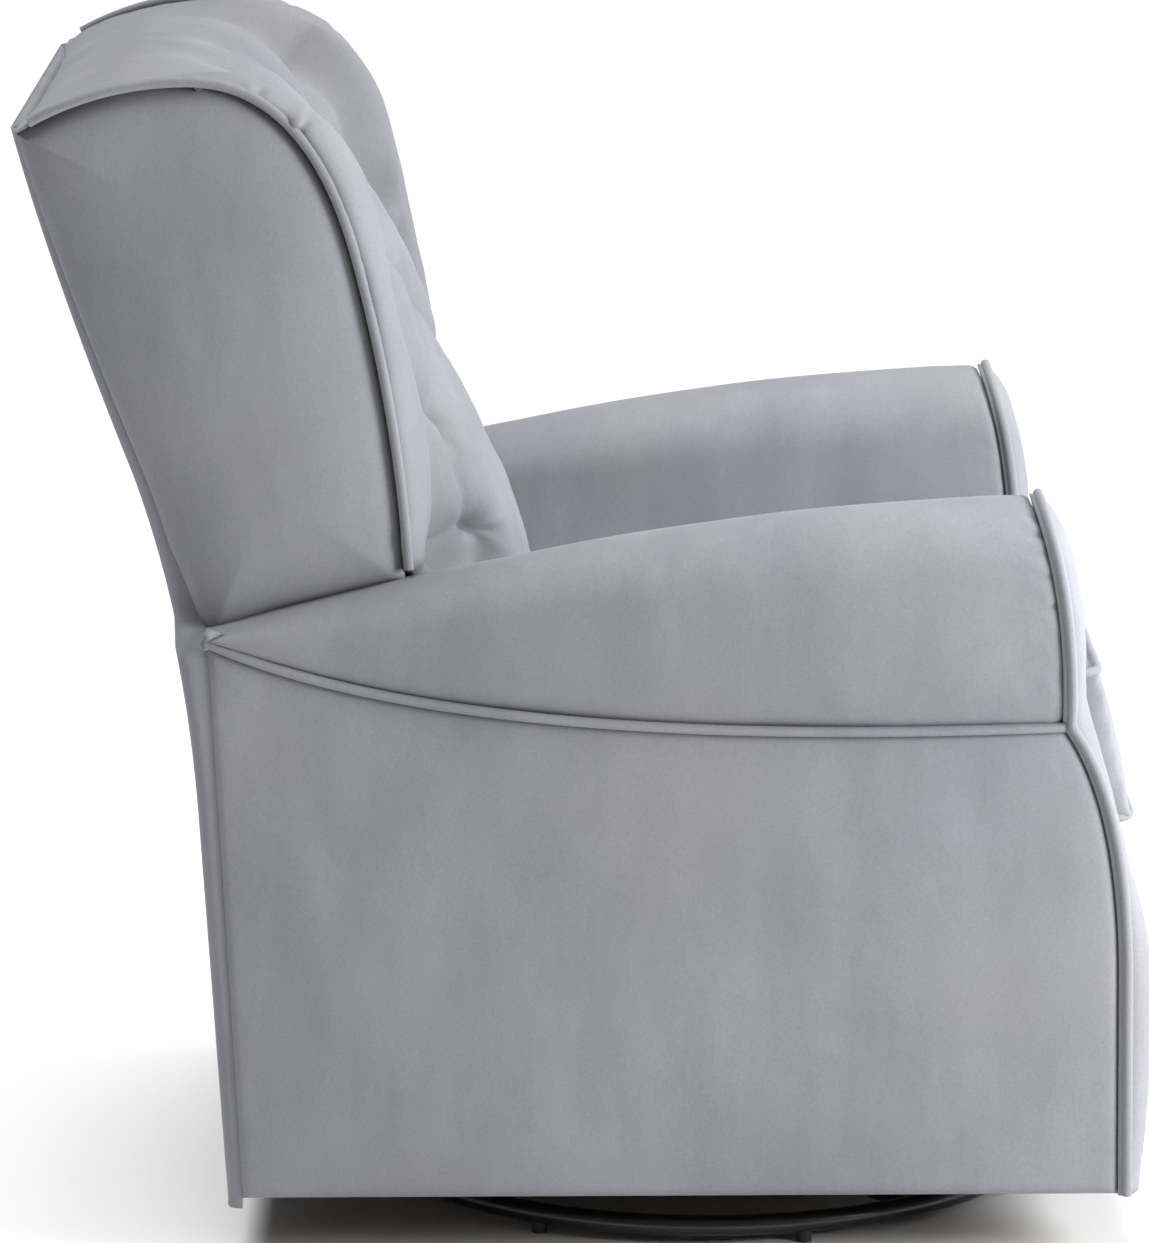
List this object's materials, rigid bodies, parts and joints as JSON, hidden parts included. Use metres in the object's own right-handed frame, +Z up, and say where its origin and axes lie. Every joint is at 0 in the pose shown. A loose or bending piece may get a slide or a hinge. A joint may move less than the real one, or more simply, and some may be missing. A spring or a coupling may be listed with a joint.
{
  "type": "swivel glider chair",
  "caption": "Upholstered wingback nursery chair on a floor ring; the seat swivels all the way round and glides forward and back on hanging links.",
  "frame": {"origin": "on the floor under the middle of the chair's bounding box", "axes": "+Z up, the chair faces -Y, +X is the sitter's left"},
  "size_m": [0.76, 0.954, 1.01],
  "materials": {
    "velvet": "short-pile velvet, light blue-grey",
    "base_enamel": "gloss black enamel",
    "mechanism_enamel": "satin black enamel",
    "zinc_steel": "bright zinc plate",
    "foot_rubber": "matt black",
    "bumper_rubber": "matt black",
    "cage_nylon": "natural nylon",
    "frame_wood": "sawn softwood, unfinished",
    "board_wood": "plywood, unfinished",
    "webbing": "woven black webbing and deck cloth",
    "dust_cloth": "black non-woven cloth"
  },
  "bodies": {
    "base": {"base_ring": "base_enamel", "cross_bar_long": "base_enamel", "cross_bar_left": "base_enamel", "cross_bar_right": "base_enamel", "base_feet": "foot_rubber", "bearing_lower_plate": "zinc_steel", "bearing_cage": "cage_nylon", "bearing_balls": "zinc_steel", "king_bolt": "zinc_steel", "king_washer": "zinc_steel", "king_nut": "zinc_steel"},
    "carrier": {"bearing_upper_plate": "mechanism_enamel", "cross_channel_front": "mechanism_enamel", "cross_channel_rear": "mechanism_enamel", "channel_bolts": "zinc_steel", "side_bracket_left": "mechanism_enamel", "side_bracket_right": "mechanism_enamel", "upper_pins": "zinc_steel", "stop_bumpers": "bumper_rubber"},
    "link_front_left": {"link_front_left": "zinc_steel"},
    "link_front_right": {"link_front_right": "zinc_steel"},
    "link_rear_left": {"link_rear_left": "zinc_steel"},
    "link_rear_right": {"link_rear_right": "zinc_steel"},
    "seat": {"seat_rail_left": "mechanism_enamel", "seat_rail_right": "mechanism_enamel", "drop_legs": "mechanism_enamel", "lower_pins": "zinc_steel", "seat_bolts": "zinc_steel", "frame_front_rail": "frame_wood", "frame_rear_rail": "frame_wood", "frame_side_left": "frame_wood", "frame_side_right": "frame_wood", "arm_posts_left": "frame_wood", "arm_posts_right": "frame_wood", "arm_board_left": "board_wood", "arm_board_right": "board_wood", "back_post_left": "frame_wood", "back_post_right": "frame_wood", "back_rails": "frame_wood", "back_brackets": "zinc_steel", "back_bolts": "zinc_steel", "wing_boards": "board_wood", "wing_linings": "velvet", "seat_springs": "zinc_steel", "spring_clips": "zinc_steel", "seat_deck": "webbing", "back_straps": "webbing", "dust_cover": "dust_cloth", "seat_cushion": "velvet", "back_cushion": "velvet", "wing_pad_left": "velvet", "wing_pad_right": "velvet", "arm_pad_left": "velvet", "arm_pad_right": "velvet", "inner_arms": "velvet", "arm_front_left": "velvet", "arm_front_right": "velvet", "side_panels": "velvet", "front_apron": "velvet", "outside_back": "velvet"}
  },
  "joints": [
    {"name": "swivel", "type": "hinge", "parent": "base", "child": "carrier", "pos_m": [0, -0.107, 0.04], "axis": [0, 0, 1], "continuous": true},
    {"name": "glide_link", "type": "hinge", "parent": "carrier", "child": "link_front_left", "pos_m": [0.186, -0.237, 0.195], "axis": [1, 0, 0], "range_deg": [-26, 26]},
    {"name": "seat_glide", "type": "hinge", "parent": "link_front_left", "child": "seat", "pos_m": [0.186, -0.237, 0.085], "axis": [1, 0, 0], "range_deg": [-26, 26]},
    {"name": "link_swing_front_right", "type": "hinge", "parent": "carrier", "child": "link_front_right", "pos_m": [-0.186, -0.237, 0.195], "axis": [1, 0, 0], "range_deg": [-26, 26]},
    {"name": "link_swing_rear_left", "type": "hinge", "parent": "carrier", "child": "link_rear_left", "pos_m": [0.186, 0.023, 0.195], "axis": [1, 0, 0], "range_deg": [-26, 26]},
    {"name": "link_swing_rear_right", "type": "hinge", "parent": "carrier", "child": "link_rear_right", "pos_m": [-0.186, 0.023, 0.195], "axis": [1, 0, 0], "range_deg": [-26, 26]}
  ],
  "couplings": [
    {"joint": "glide_link", "follows": "seat_glide", "ratio": -1},
    {"joint": "link_swing_front_right", "follows": "seat_glide", "ratio": -1},
    {"joint": "link_swing_rear_left", "follows": "seat_glide", "ratio": -1},
    {"joint": "link_swing_rear_right", "follows": "seat_glide", "ratio": -1}
  ]
}
